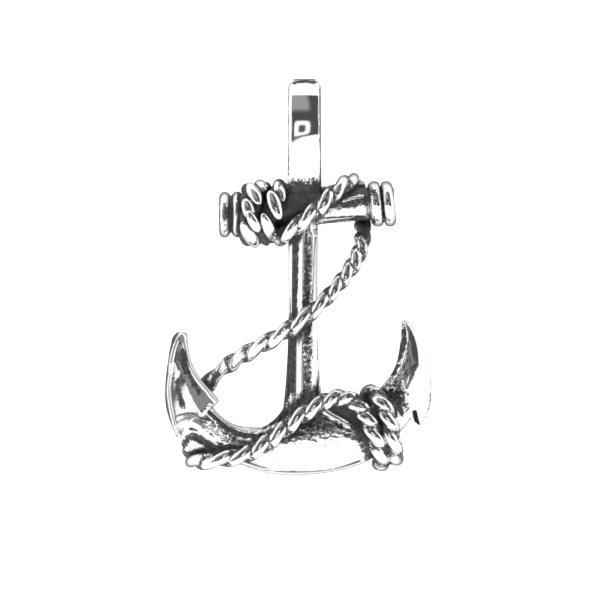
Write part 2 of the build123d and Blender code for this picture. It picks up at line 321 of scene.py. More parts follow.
# shank from its left to its right side: place across and height of the front
shankFront = [
    (-1.10, 5.06), (-0.74, 5.38), (-0.14, 5.46), (-0.02, 5.52), (0.52, 5.86), (0.66, 5.85), (1.10, 5.79),
    (1.56, 5.83), (1.68, 5.78), (2.26, 5.24), (2.46, 5.02),
]
shankRange = {"lean": 0.009, "sides": (-1.05, 2.42), "sideFade": 0.1, "ends": (-14.6, -13.2, 4.6, 5.6)}

# crown: by angle from straight down about the arms' centre, how far out its bright keel begins
crownCrest = [
    (-34, 15.2), (-24, 14.9), (-18.6, 14.6), (-14.7, 13.9), (-9, 12.9), (0, 12.4), (7, 12.25), (19, 12.55),
    (22.5, 13.5), (26, 14.2), (34, 14.3),
]
crownRange = {
    "top": 6.20, "edge": 16.5, "edgeTop": 4.92, "inward": 0.16, "ragged": 0.3, "innerFade": (-1.3, -0.3),
    "edgeFade": (16.25, 16.65), "fades": (-31, -24, 24, 30),
}


# Blades: at each angle from straight down about the arms' centre, where the inner edge, the cast ridge and
# the outer edge lie and how high the cast ridge is, then the ridge and the edge heights that are wanted
flukeColumns = ("angle", "inner", "castRidge", "castTop", "outer", "ridge", "top", "innerTop", "outerTop")
leftFlukeRows = [
    (-47.5, 12.6, 15.7, 5.51, 19.15, 15.6, 5.50, 4.70, 4.60),
    (-51, 12.6, 15.5, 5.49, 19.1, 15.3, 5.52, 4.70, 4.58),
    (-58, 12.7, 15.1, 5.38, 18.3, 14.9, 5.56, 4.80, 4.58),
    (-66, 13.1, 14.8, 5.24, 17.4, 14.7, 5.56, 4.95, 4.62),
    (-72, 13.3, 14.5, 5.08, 16.5, 14.5, 5.44, 5.00, 4.72),
    (-76, 13.3, 14.3, 4.97, 16.1, 14.4, 5.28, 4.94, 5.20),
    (-80, 13.3, 14.1, 4.83, 15.6, 14.2, 5.08, 4.84, 5.02),
    (-86, 13.5, 13.9, 4.62, 14.8, 14.0, 4.76, 4.64, 4.72),
    (-90, 13.7, 14.0, 4.48, 14.3, 14.0, 4.50, 4.46, 4.48),
]
rightFlukeRows = [
    (47, 10.9, 13.7, 5.60, 17.4, 13.7, 5.60, 4.60, 4.50),
    (54, 11.0, 13.5, 5.50, 17.3, 13.6, 5.55, 4.60, 4.40),
    (61, 11.2, 13.4, 5.38, 16.8, 13.7, 5.50, 4.62, 4.36),
    (69, 11.3, 13.1, 5.20, 15.8, 13.7, 5.40, 4.66, 4.42),
    (73, 11.4, 12.9, 5.10, 15.2, 13.85, 5.36, 4.70, 4.60),
    (80, 11.3, 12.4, 4.98, 14.3, 13.35, 5.16, 4.66, 4.62),
    (86, 11.3, 12.0, 4.86, 13.4, 12.85, 4.98, 4.60, 4.62),
    (92, 11.35, 11.8, 4.70, 12.5, 12.2, 4.74, 4.54, 4.54),
    (96, 11.4, 11.6, 4.50, 11.9, 11.7, 4.50, 4.46, 4.46),
]
castFluke = {
    "edge": 4.48, "margin": 0.5, "baseFade": 3.0, "facetRadius": 30.0,
    "rimInset": 0.26, "rimFlat": 0.08, "rimWidth": 0.40, "rimFade": (0.6, 1.6), "rimBright": 0.9,
    # the wall's darkening is painted shade on the sloping wall outside the rim
    "wallFall": 0.35, "wallPaintedShade": 1.9, "wallFade": (0.3, 1.4),
}
# painted shade on the blade's edge: it fades in between two angles, ends at an angle and a place, and fades
# out between two heights
bladeWall = {"base": (42, 50), "tip": 100, "level": (4.36, 4.56), "top": -4}
# how high the rim stands, how wide the sloping wall outside it is, and how dark the painted shade on the
# edge below it
leftBlade = {"side": -1, "rows": leftFlukeRows, "rim": 0.24, "wall": 0.18, "edgePaintedShade": 1.4}
rightBlade = {"side": 1, "rows": rightFlukeRows, "rim": 0.0, "wall": 0.0, "edgePaintedShade": 0.4}
tipRange = {
    "radius": 14.0, "radii": (12, 16.5), "end": 100,
    "angles": (78, 84, 88, 92), "growth": (1.0, 1.15, 1.7, 2.3),
}


# lines raised or sunk on the front: half width and lift in mm; tarnish and painted shade above 0 is darker,
# below 0 brighter
castLines = {
    # painted shade: a dark line down the left ring's side wall, where it turns away
    "leftRingWallShade": {
        "line": [(-9.00, 9.40), (-9.07, 7.10), (-9.00, 4.80)],
        "half": 0.13, "lift": 0.00, "tarnishAndShade": 0.80,
    },
    "leftRingStreak": {
        "line": [(-7.20, 9.60), (-7.20, 8.40), (-7.10, 7.20), (-7.25, 5.60)],
        "half": 0.22, "lift": 0.06, "tarnishAndShade": -0.50,
    },
    # painted shade: dark lines along the strap's two edges, where it turns away
    "strapLeftEdge": {
        "line": [(-1.14, 21.60), (-1.16, 16.20), (-1.16, 10.60)],
        "half": 0.07, "lift": 0.00, "tarnishAndShade": 0.75,
    },
    "strapRightEdge": {
        "line": [(2.50, 21.60), (2.52, 16.20), (2.66, 10.60)],
        "half": 0.10, "lift": 0.00, "tarnishAndShade": 0.85,
    },
    "strapFoot": {
        "line": [(-1.60, 9.75), (0.70, 9.70), (2.90, 9.75)],
        "half": 0.34, "lift": 0.00, "tarnishAndShade": 1.00,
    },
    # painted shade along the strap's round top edge
    "strapCap": {
        "line": [(-0.50, 22.25), (0.30, 22.50), (1.20, 22.50), (2.00, 22.25)],
        "half": 0.22, "lift": 0.00, "tarnishAndShade": 0.90,
    },
    "shankBevel": {
        "line": [(0.46, 4.60), (0.34, 1.00), (0.20, -2.00), (-0.02, -4.40)],
        "half": 0.22, "lift": 0.00, "tarnishAndShade": -0.70,
    },
    "shankBevelFoot": {
        "line": [(0.02, -7.30), (0.04, -10.00), (0.00, -13.90)],
        "half": 0.19, "lift": 0.00, "tarnishAndShade": -0.70,
    },
    "shankLeftBand": {
        "line": [(-0.34, 4.24), (-0.34, -0.50), (-0.52, -4.00), (-0.60, -8.41), (-0.80, -14.62)],
        "half": 0.44, "lift": 0.00, "tarnishAndShade": 0.90,
    },
    "shankLeftLine": {
        "line": [(-0.80, 3.80), (-0.82, -2.00), (-0.74, -5.00)],
        "half": 0.11, "lift": 0.00, "tarnishAndShade": -1.00,
    },
    "shankChamfer": {
        "line": [(1.98, 5.20), (1.92, 2.00), (1.74, -1.40), (1.58, -3.40)],
        "half": 0.34, "lift": 0.00, "tarnishAndShade": -0.90,
    },
    "shankLeftFoot": {
        "line": [(-1.05, -6.00), (-1.20, -10.00), (-1.45, -13.20), (-2.00, -15.60), (-3.20, -16.90)],
        "half": 0.60, "lift": 0.00, "tarnishAndShade": 0.75,
    },
    # painted shade: the right blade's inner facet, which faces away, made darker
    "rightInnerFacetShade": {
        "line": [(12.20, -5.70), (12.05, -7.60), (11.50, -9.60), (10.50, -11.50)],
        "half": 0.38, "lift": 0.00, "tarnishAndShade": 0.45,
    },
    "shankCentre": {
        "line": [(1.10, 3.90), (1.02, 0.00), (0.96, -3.00), (1.00, -7.20)],
        "half": 0.50, "lift": 0.00, "tarnishAndShade": 0.42,
    },
    "shankCentreFoot": {
        "line": [(1.05, -7.20), (1.05, -10.00), (0.95, -13.93)],
        "half": 0.58, "lift": 0.00, "tarnishAndShade": 0.24,
    },
    "shankRightEdge": {
        "line": [(2.51, 4.70), (2.45, -2.66), (2.39, -8.41), (2.74, -13.24)],
        "half": 0.16, "lift": 0.00, "tarnishAndShade": 0.50,
    },
    "armInnerEdge": {
        "line": [
            (-10.32, -14.85), (-9.11, -16.11), (-7.38, -17.32), (-5.31, -17.95), (-3.24, -17.66),
            (-1.98, -16.57),
        ],
        "half": 0.26, "lift": 0.16, "tarnishAndShade": -1.00,
    },
    "armInnerGroove": {
        "line": [
            (-10.03, -15.65), (-8.76, -16.92), (-6.69, -18.07), (-4.16, -18.47), (-1.75, -17.38),
            (-0.83, -15.08),
        ],
        "half": 0.40, "lift": -0.12, "tarnishAndShade": 0.80,
    },
    # painted reflection: the dark core on the left blade's outer facet
    "bladeCorePaintedReflection": {
        "line": [(-13.88, -11.95), (-13.76, -13.50), (-13.12, -15.30)],
        "half": 0.25, "lift": 0.00, "tarnishAndShade": 1.30,
    },
    # painted shade: darker bands on the left blade's inner facet
    "bladeInnerPaintedShade": {
        "line": [(-13.15, -8.40), (-12.80, -10.20), (-12.10, -12.10), (-10.90, -13.90)],
        "half": 0.27, "lift": 0.00, "tarnishAndShade": 0.90,
    },
    "bladeUpperPaintedShade": {
        "line": [(-13.20, -8.80), (-13.10, -10.00), (-12.90, -11.00)],
        "half": 0.40, "lift": 0.00, "tarnishAndShade": 0.80,
    },
    # painted highlight: a raised arc on the left arm kept clean and bright where a reflection band falls
    "armArcPaintedHighlight": {
        "line": [(-14.30, -17.10), (-12.50, -16.00), (-10.70, -17.20), (-9.20, -18.40), (-7.90, -19.10)],
        "half": 0.62, "lift": 0.26, "tarnishAndShade": -0.80,
    },
    # painted reflection: the sunk band below that arc made dark
    "armHollowPaintedReflection": {
        "line": [(-13.20, -19.40), (-12.44, -17.95), (-10.90, -18.75), (-8.88, -20.50)],
        "half": 0.46, "lift": -0.16, "tarnishAndShade": 0.70,
    },
    "webRidge": {
        "line": [(2.74, -15.19), (3.77, -15.94), (4.92, -16.46), (5.96, -17.15)],
        "half": 0.42, "lift": 0.36, "tarnishAndShade": -1.70,
    },
    "crownRim": {
        "line": [
            (-6.69, -21.52), (-4.85, -22.15), (-1.52, -22.38), (2.51, -22.32), (5.38, -21.80),
            (7.80, -20.83),
        ],
        "half": 0.11, "lift": -0.10, "tarnishAndShade": 0.20,
    },
    "stockStreak": {
        "line": [(5.15, 8.73), (6.19, 9.07), (7.80, 9.30)],
        "half": 0.24, "lift": 0.14, "tarnishAndShade": -0.80,
    },
    "stockGroove": {
        "line": [(2.97, 6.26), (4.81, 6.49), (7.80, 6.80)],
        "half": 0.14, "lift": -0.12, "tarnishAndShade": 0.60,
    },
    "rightRubbedLine": {
        "line": [
            (12.40, -5.20), (12.64, -6.96), (12.48, -8.30), (12.00, -10.10), (11.30, -11.50),
            (10.30, -12.60),
        ],
        "half": 0.17, "lift": 0.07, "tarnishAndShade": -0.20,
    },
    "rightNotch": {
        "line": [(13.36, -15.54), (13.46, -16.23), (13.75, -16.97)],
        "half": 0.20, "lift": -0.60, "tarnishAndShade": 1.00,
    },
    "rightSeam": {
        "line": [(9.87, -13.24), (10.67, -13.93), (11.59, -14.73), (11.94, -16.00)],
        "half": 0.30, "lift": -0.16, "tarnishAndShade": 0.50,
    },
}
lineRange = {"step": 4, "reach": 1.5, "far": 99.0, "edge": (0.15, 1.35)}

# right rings: along the stock square to their lean, where the casting has them and where they are wanted
ringShift = [
    (7.60, 7.60), (8.00, 7.75), (8.35, 7.98), (9.55, 9.45), (9.85, 9.66), (10.15, 9.82), (11.45, 11.28),
]
ringRange = {"lean": 0.105, "level": 8.30, "sides": (5.2, 11.4)}

# soft-edged places: middle, reach each way, turn in degrees, tarnish and painted shade, depth of roughness,
# lift
castPatches = {
    "bailRoot": ((0.67, 8.00), (2.6, 1.60), 0, 1.0, 0.03, 0.0),
    "stockUpper": ((5.73, 9.20), (3.4, 1.35), 6, 0.62, 0.03, 0.0),
    "stockKnotSide": ((-1.86, 7.12), (1.9, 2.6), 0, 0.8, 0.02, 0.0),
    "leftCollarInner": ((-6.80, 7.12), (0.42, 3.2), 0, 0.4, 0.02, 0.0),
    "leftRingSpeckle": ((-8.30, 7.00), (0.42, 1.5), 0, 0.3, 0.03, 0.0),
    "crownTexture": ((0.21, -17.60), (6.6, 1.3), 3, 0.10, 0.26, 0.0),
    "crownUpper": ((0.32, -16.00), (2.9, 1.7), 0, 0.40, 0.20, 0.0),
    "armTexture": ((-8.30, -18.10), (2.9, 1.0), -24, 0.12, 0.22, 0.0),
    "rightWeb": ((5.38, -15.31), (3.1, 1.55), -12, 0.95, 0.02, -0.25),
    "wrapsBed": ((8.60, -17.61), (2.1, 4.4), 12, 0.7, 0.03, 0.0),
    "rightArmRoot": ((11.25, -14.40), (1.3, 1.7), 30, 0.30, 0.22, 0.0),
    # painted shade on the right blade's inner facet
    "rightFlukePaintedShade": ((11.9, -9.6), (0.8, 3.6), -14, 0.30, 0.04, 0.0),
    "rightFlukeFoot": ((11.4, -12.9), (1.0, 1.5), 30, 0.05, 0.26, 0.0),
    "rightArmSpecks": ((10.70, -12.90), (0.7, 0.35), 0, -0.4, 0.25, 0.0),
    "keel": ((0.90, -20.40), (7.6, 2.1), 3, -0.25, 0.0, 0.0),
    "shankFoot": ((0.90, -14.16), (1.7, 1.2), 0, 0.4, 0.08, 0.0),
    "shankPits": ((1.15, -5.00), (0.50, 8.2), 0, 0.08, 0.30, 0.0),
}
patchEdge = (0.55, 1.25)        # shares of its reach between which a patch fades


def roundArms(places):
    # angle from straight down about the arms' centre, and distance from it
    out = places - np.array(castShape["armsCentre"])
    return np.degrees(np.arctan2(out[:, 0], -out[:, 1])), np.hypot(out[:, 0], out[:, 1])


def smoothShare(values, low, high):
    share = np.clip((values - low) / (high - low), 0.0, 1.0)
    return share * share * (3 - 2 * share)


def nearLine(places, points):
    # how far each place lies from a smooth line through its control points
    line = smoothLine([(x, y, 0.0) for x, y in points])[::lineRange["step"], :2]
    low, high = line.min(axis=0) - lineRange["reach"], line.max(axis=0) + lineRange["reach"]
    close = np.nonzero(np.all((places > low) & (places < high), axis=1))[0]
    nearest = np.full(len(close), lineRange["far"])
    for start, end in zip(line[:-1], line[1:]):
        run = end - start
        share = np.clip((places[close] - start) @ run / max(run @ run, 1e-9), 0.0, 1.0)
        gap = places[close] - start - share[:, None] * run
        nearest = np.minimum(nearest, np.hypot(gap[:, 0], gap[:, 1]))
    gaps = np.full(len(places), lineRange["far"])
    gaps[close] = nearest
    return gaps


def lineLift(places):
    lift = np.zeros(len(places))
    tarnishAndShade = np.zeros(len(places))
    start, end = lineRange["edge"]
    for mark in castLines.values():
        share = 1 - smoothShare(nearLine(places, mark["line"]), start * mark["half"], end * mark["half"])
        lift += share * mark["lift"]
        tarnishAndShade += share * mark["tarnishAndShade"]
    return lift, tarnishAndShade


def patchLift(places, grain):
    lift = np.zeros(len(places))
    tarnishAndShade = np.zeros(len(places))
    for middle, reach, turn, dark, rough, raised in castPatches.values():
        along = places - np.array(middle)
        cosine, sine = math.cos(math.radians(turn)), math.sin(math.radians(turn))
        u = (along[:, 0] * cosine + along[:, 1] * sine) / reach[0]
        v = (along[:, 1] * cosine - along[:, 0] * sine) / reach[1]
        share = 1 - smoothShare(np.hypot(u, v), *patchEdge)
        lift += share * (raised + rough * grain)
        tarnishAndShade += share * dark
    return lift, tarnishAndShade


def flukeLift(places, side):
    # turns the cast facets into the wanted ones and raises a rim round the blade
    angle, radius = roundArms(places)
    rows = sorted(side["rows"])
    stops = [row[0] for row in rows]
    row = {name: np.interp(angle, stops, values) for name, values in zip(flukeColumns, zip(*rows))}
    margin = castFluke["margin"]
    inside = (angle > stops[0]) & (angle < stops[-1])
    inside &= (radius > row["inner"] - margin) & (radius < row["outer"] + margin)
    held = np.clip(radius, row["inner"], row["outer"])

    def blade(ridge, top, innerTop, outerTop):
        inner = innerTop + (top - innerTop) * (held - row["inner"]) / (ridge - row["inner"])
        outer = top + (outerTop - top) * (held - ridge) / (row["outer"] - ridge)
        return np.where(held < ridge, inner, outer)

    cast = blade(row["castRidge"], row["castTop"], castFluke["edge"], castFluke["edge"])
    wanted = blade(row["ridge"], row["top"], row["innerTop"], row["outerTop"])
    middle = (row["ridge"] + row["outer"]) / 2
    half = (row["outer"] - row["ridge"]) / 2
    bulge = (half**2 - (held - middle) ** 2) / (2 * castFluke["facetRadius"])
    wanted += np.where(held > row["ridge"], bulge, 0.0)
    beyond = row["outer"] - radius
    edge = np.minimum(radius - row["inner"], beyond - side["wall"])
    gap = np.abs(edge - castFluke["rimInset"])
    rim = 1 - smoothShare(gap, castFluke["rimFlat"], castFluke["rimWidth"])
    rim *= smoothShare(row["outer"] - row["inner"], *castFluke["rimFade"])
    wall = np.zeros(len(places))
    if side["wall"]:
        start, end = castFluke["wallFade"]
        wall = (1 - smoothShare(beyond, start * side["wall"], end * side["wall"])) * (held > row["ridge"])
    begin = min(map(abs, stops))
    share = inside * smoothShare(np.abs(angle), begin, begin + castFluke["baseFade"])
    lift = wanted - cast + rim * side["rim"] - castFluke["wallFall"] * wall
    # the sloping wall outside the rim gets painted shade; the rim is kept clean
    return share * lift, share * (castFluke["wallPaintedShade"] * wall - castFluke["rimBright"] * rim)


def edgePaintedShade(points, side):
    # painted shade on the blade's edge, seen beside its rim
    turned = roundArms(points[:, :2])[0] * side["side"]
    blade = smoothShare(turned, *bladeWall["base"]) * (turned < bladeWall["tip"])
    blade = blade * (points[:, 1] < bladeWall["top"])
    return blade * (1 - smoothShare(points[:, 2], *bladeWall["level"])) * side["edgePaintedShade"]


def strapLift(places, heights, tree):
    # the strap's front follows its own line from the stock to the round top
    reach = strapRange
    centre = sum(reach["sides"]) / 2
    front = smoothLine([(along, level, 0.0) for along, level in strapFront])
    samples = np.linspace(front[0][0], front[-1][0], reach["samples"])
    present = [castTop(tree, centre, y, 0.0) for y in samples]
    change = np.interp(places[:, 1], front[:, 0], front[:, 1])
    change -= np.interp(places[:, 1], samples, present)
    aside = places[:, 0] - reach["crownAt"]
    along = np.tanh((places[:, 1] - reach["twistAt"]) / reach["twistReach"]) * reach["twistReach"]
    change += reach["twist"] * aside * along - aside**2 / (2 * reach["crownRadius"])
    half = (reach["edges"][1] - reach["edges"][0]) / 2
    over = np.abs(places[:, 0] - centre) - half + reach["sideWidth"]
    change -= reach["sideFall"] * np.clip(over, 0.0, reach["sideWidth"]) ** 2
    inside = smoothShare(places[:, 1], *reach["fadeIn"]) * (1 - smoothShare(places[:, 1], *reach["fadeOut"]))
    inside *= (places[:, 0] > reach["sides"][0]) & (places[:, 0] < reach["sides"][1])
    return change * inside * smoothShare(heights, *reach["back"]), inside


def shankLift(places, tops):
    # the shank's front as bevels and a pitted middle
    across, levels = zip(*shankFront)
    x = places[:, 0] - shankRange["lean"] * places[:, 1]
    low, lowFull, highFull, high = shankRange["ends"]
    inside = smoothShare(places[:, 1], low, lowFull) * (1 - smoothShare(places[:, 1], highFull, high))
    left, right = shankRange["sides"]
    fade = shankRange["sideFade"]
    inside *= smoothShare(x, left - fade, left + fade) * (1 - smoothShare(x, right - fade, right + fade))
    return inside * (np.interp(x, across, levels) - tops)


def crownLift(places, tops, grain):
    # a keel that falls away outwards from a ragged crest
    angle, radius = roundArms(places)
    stops, crests = zip(*crownCrest)
    crest = np.interp(angle, stops, crests) + crownRange["ragged"] * grain
    run = (radius - crest) / (crownRange["edge"] - crest)
    keel = crownRange["top"] - (crownRange["top"] - crownRange["edgeTop"]) * (0.5 * run + 0.5 * run**2)
    slope = crownRange["top"] - crownRange["inward"] * (crest - radius)
    low, lowFull, highFull, high = crownRange["fades"]
    inside = smoothShare(angle, low, lowFull) * (1 - smoothShare(angle, highFull, high))
    inside *= smoothShare(radius - crest, *crownRange["innerFade"])
    inside *= 1 - smoothShare(radius, *crownRange["edgeFade"])
    return inside * (np.where(radius > crest, keel, slope) - tops)


def bluntTip(points):
    # the left blade ends broad and round
    angle, radius = roundArms(points[:, :2])
    angles, growth = tipRange["angles"], tipRange["growth"]
    wanted = tipRange["radius"] + (radius - tipRange["radius"]) * np.interp(-angle, angles, growth)
    low, high = tipRange["radii"]
    tip = (angle < -angles[0]) & (angle > -tipRange["end"]) & (radius > low) & (radius < high)
    out = points[:, :2] - np.array(castShape["armsCentre"])
    points[tip, :2] += (out * (wanted / radius - 1)[:, None])[tip]


def shiftRings(points):
    cast, wanted = zip(*ringShift)
    low, high = ringRange["sides"]
    lean = ringRange["lean"] * (points[:, 1] - ringRange["level"])
    along = points[:, 0] + lean
    rings = (along > cast[0]) & (points[:, 1] > low) & (points[:, 1] < high)
    moved = np.where(along < cast[-1], np.interp(along, cast, wanted), along + wanted[-1] - cast[-1])
    points[rings, 0] = (moved - lean)[rings]


def roundStrapTop(points):
    # the loop's two top corners
    reach = strapRange
    corner = reach["corner"]
    for edge, way in zip(reach["edges"], (1, -1)):
        middle = np.array((edge + way * corner, reach["top"] - corner))
        out = points[:, :2] - middle
        beyond = (out[:, 0] * way < 0) & (out[:, 1] > 0)
        far = np.hypot(out[:, 0], out[:, 1])
        pull = beyond & (far > corner)
        points[pull, :2] = middle + out[pull] * (corner / far[pull])[:, None]


def reliefGrain(points, size):
    return np.array([noise.noise(Vector(point) / size) for point in points])


def castTop(tree, x, y, missing):
    # height of the front at a place
    place = tree.ray_cast(Vector((x, y, castShape["skyLevel"])), Vector((0.0, 0.0, -1.0)))[0]
    return missing if place is None else place.z


def vertexPlaces(mesh):
    places = np.empty(len(mesh.vertices) * 3)
    mesh.vertices.foreach_get("co", places)
    return places.reshape(-1, 3)


def sculptCast(mesh):
    points = vertexPlaces(mesh)
    corners = [vertex.co for vertex in mesh.vertices]
    tree = BVHTree.FromPolygons(corners, [face.vertices for face in mesh.polygons])
    tops = np.array([castTop(tree, *point) for point in points])
    places = points[:, :2]
    share = np.clip(points[:, 2] / np.maximum(tops, castShape["thinnest"]), 0.0, 1.0)
    share *= smoothShare(points[:, 2], castShape["sculptLevel"], castShape["frontLevel"])
    coarse, fine = (reliefGrain(points, size) for size in castShape["grainSizes"])
    grain = coarse + castShape["fineGrainShare"] * fine
    lift = lineLift(places)[0] + patchLift(places, grain)[0]
    lift += flukeLift(places, leftBlade)[0] + flukeLift(places, rightBlade)[0]
    lift += shankLift(places, tops) + crownLift(places, tops, grain)
    strap, inside = strapLift(places, points[:, 2], tree)
    points[:, 2] += lift * share * (1 - inside) + strap
    roundStrapTop(points)
    shiftRings(points)
    bluntTip(points)
    mesh.vertices.foreach_set("co", points.ravel())
    mesh.update()


def tarnishAndShadeCast(mesh):
    # the casting's tarnish, plus the painted shade and painted reflections set by the lines, patches and
    # blade edges
    points = vertexPlaces(mesh)
    places = points[:, :2]
    tarnishAndShade = lineLift(places)[1] + patchLift(places, np.zeros(len(points)))[1]
    tarnishAndShade += flukeLift(places, leftBlade)[1]
    tarnishAndShade *= smoothShare(points[:, 2], castShape["tarnishAndShadeLevel"], castShape["frontLevel"])
    for side in (leftBlade, rightBlade):
        tarnishAndShade += edgePaintedShade(points, side)
    layer = mesh.attributes.new("tarnishAndShade", "FLOAT", "POINT")
    layer.data.foreach_set("value", np.clip(tarnishAndShade, -1.0, 1.0).astype(np.float32))


def makeAnchor(shape):
    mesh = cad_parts["anchor"].data.copy()
    mesh.transform(Matrix.Scale(1 / mm, 4))
    body = bmesh.new()
    body.from_mesh(mesh)
    bmesh.ops.remove_doubles(body, verts=body.verts, dist=shape["weld"])
    body.to_mesh(mesh)
    body.free()
    mesh = fuse("anchorCasting", mesh, shape["voxel"], shape["softening"])
    sculptCast(mesh)
    mesh = softened("anchorCasting", mesh, shape["polish"])
    mesh = thinned("anchorCasting", mesh, shape["triangles"])
    tarnishAndShadeCast(mesh)
    return finishPiece("anchorCasting", mesh, silver, ["anchor"])


makeAnchor(castShape)
print("anchor made")


# Rope
rope = {
    "strandRadius": 0.66,
    "strandSteps": 5,
    "strandOffset": 0.37,
    "pitch": 5.4,
    "spacing": 0.15,
    "voxel": 0.085,
    "softening": 3,
    "triangles": 180000,
    "tarnishAndShade": 0.70,
    "crownFade": (-0.2, 0.55),
    # heights under the line where the strand's lower side darkens: partly tarnish, partly painted shade
    "lowFade": (-0.6, 0.0),
    "darkEdge": (0.5, 1.2),
    "crownApart": 1.0,          # mm along the rope: least step to the next crown, how far it is looked for
    "crownReach": 22.0,
    "crownSlack": 0.35,
    "twistEase": 0.7,
    "hiddenGap": 9.0,           # crowns are not looked for where the rope runs behind
    "knotEnd": 47.5,            # mm along the rope
    "knotTarnish": 1.0,
    "lobeEdge": (0.98, 1.10),
    "lobeLay": 0.25,
    "lobeDepth": 0.7,
    "lobeGrid": (32, 24),
    "wear": (0.30, 1.05, 0.30, 1.2),    # from and to this height over the line, share that goes, limit
    "bodyLevel": 4.2,
    "backLevel": 1.9,
    "cornerShare": 1.079,       # control points at 45 degree steps stand this much further out
    "jointPlace": (-12.20, -16.50),
}

# place along the stock, degrees about it from the front over the top, distance from its axis
knotTurns = [
    (-5.90, -135, 2.80), (-5.80, -90, 2.90), (-5.80, -45, 2.35), (-5.78, 0, 2.25),
    (-5.75, 45, 2.35), (-5.65, 90, 2.75), (-5.40, 135, 2.80), (-5.00, 180, 2.80),
    (-4.50, 225, 2.85), (-4.10, 270, 2.90), (-4.75, 315, 2.45), (-5.20, 360, 2.30),
    (-4.95, 405, 2.45), (-4.20, 450, 2.80), (-3.60, 495, 2.85), (-3.30, 540, 2.80),
    (-3.15, 585, 2.85), (-3.15, 630, 2.85), (-3.45, 675, 2.45), (-3.20, 720, 2.35),
    (-2.45, 765, 2.45), (-2.00, 810, 2.75), (-2.00, 855, 2.80), (-2.00, 900, 2.80),
    (-2.05, 945, 2.85), (-2.05, 990, 2.95),
]

# strands that lie on top in the knot: place along the stock, degrees about it, distance of the middle from
# its axis, half length, half width, lean towards the left end, tarnish
knotLobes = [
    (-5.58, -48, 3.22, 2.00, 0.86, 24, 0.0), (-5.66, 7, 3.30, 1.42, 0.76, 20, 0.0),
    (-5.02, 38, 3.58, 1.60, 0.76, 26, 0.0), (-4.22, 72, 3.20, 1.20, 0.72, 20, 0.1),
    (-5.10, -16, 3.74, 1.38, 0.62, 28, 0.0), (-4.10, -62, 3.15, 1.60, 0.62, 22, 1.1),
    (-2.10, 41, 3.28, 1.45, 0.66, 16, 0.3), (-2.68, 10, 3.64, 1.80, 0.78, 20, 0.0),
    (-3.42, -29, 3.78, 1.84, 0.70, 22, 0.0), (-2.12, -78, 3.05, 1.00, 0.80, 0, 1.3),
]

# x, y, z of the control points from the knot to behind the left fluke and round the arms
ropeRun = [
    (-2.05, 4.55, 5.05), (-1.90, 4.66, 5.91), (-1.48, 4.88, 6.60), (-0.77, 5.26, 6.95),
    (0.12, 6.03, 7.20), (1.05, 6.86, 7.35), (2.06, 7.66, 7.45), (3.01, 8.54, 7.42),
    (3.83, 9.41, 7.18), (4.56, 10.05, 6.75), (5.20, 10.55, 6.10), (5.75, 10.90, 5.30),
    (6.25, 11.05, 4.10), (6.75, 10.60, 2.45), (7.15, 8.93, 1.25), (7.40, 6.61, 1.75),
    (7.45, 5.35, 3.55), (7.38, 4.20, 4.88), (7.12, 3.00, 5.49), (6.45, 1.60, 5.98),
    (5.45, 0.15, 6.41), (4.10, -1.50, 6.80), (2.50, -3.20, 7.02), (0.45, -4.95, 7.05),
    (-2.00, -6.65, 6.87), (-4.50, -8.05, 6.11), (-6.70, -9.25, 4.63), (-8.65, -10.60, 2.72),
    (-10.05, -11.85, 1.49), (-11.05, -13.20, 1.10), (-11.75, -14.85, 1.13), (-12.20, -16.50, 1.13),
    (-12.40, -18.05, 1.13), (-12.40, -19.40, 1.37), (-12.40, -20.50, 2.51), (-12.15, -21.15, 4.20),
    (-11.25, -21.25, 5.70), (-9.75, -21.05, 6.60), (-8.00, -20.80, 6.95), (-6.20, -20.45, 7.10),
    (-4.45, -19.60, 7.18), (-2.45, -18.10, 7.18), (-0.25, -16.30, 7.18), (1.70, -14.95, 7.18),
    (3.60, -13.95, 7.10), (5.15, -13.75, 7.00), (6.45, -14.25, 7.00), (7.40, -15.25, 7.10),
    (8.15, -16.60, 7.18), (8.85, -18.35, 7.18), (9.40, -20.05, 6.72), (9.60, -21.20, 5.37),
    (9.50, -21.50, 3.58), (9.30, -21.25, 1.90), (9.05, -19.80, 1.20), (8.70, -17.90, 1.13),
    (8.35, -16.05, 1.20), (8.05, -14.50, 1.75), (8.00, -13.45, 3.34), (8.32, -13.10, 5.30),
    (9.05, -13.70, 6.60), (9.80, -14.75, 7.12), (10.35, -16.35, 7.18), (10.80, -18.50, 7.05),
    (11.10, -20.10, 6.20), (11.15, -20.95, 4.57), (11.10, -20.70, 2.70), (11.00, -19.50, 1.40),
    (10.90, -17.90, 1.13), (10.80, -16.50, 1.13),
]

# x, y of each strand's crown where it lies on top, in order along the rope
ropeCrowns = [
    (-5.83, 5.16), (-5.77, 7.97), (-5.80, 9.65),
    (-4.05, 4.24), (-5.08, 6.54), (-4.85, 9.36), (-4.16, 10.68),
    (-3.24, 3.90), (-3.59, 6.08), (-2.70, 8.21), (-2.04, 10.11),
    (-1.98, 4.24), (-1.06, 5.34), (1.06, 6.77), (3.08, 8.58), (4.73, 9.99), (6.01, 10.80),
    (7.37, 5.16), (7.22, 3.55), (6.76, 1.83), (5.61, 0.25), (4.35, -1.37), (2.60, -3.12),
    (0.21, -5.13), (-2.05, -6.76), (-4.62, -8.10), (-6.88, -9.44), (-8.73, -10.66), (-9.96, -11.59),
    (-11.70, -20.80), (-9.12, -20.88), (-6.35, -20.56), (-4.35, -19.70), (-2.32, -18.03),
    (-0.25, -16.30), (1.75, -14.92), (3.77, -13.81), (5.23, -13.67),
    (7.11, -14.62), (8.10, -15.95), (8.89, -18.07), (9.48, -20.40), (9.48, -21.75),
    (8.49, -13.35), (9.91, -14.27), (10.50, -16.23), (11.09, -18.76), (11.24, -20.60),
]

# x, y, reach and tarnish where the rope is dark
ropeDark = [
    (7.55, 5.10, 1.9, 0.55), (-10.20, -11.90, 2.0, 0.45), (7.00, -14.40, 0.9, 0.5),
    (8.10, -13.30, 0.8, 0.5), (-12.80, -20.30, 0.6, 0.5),
]

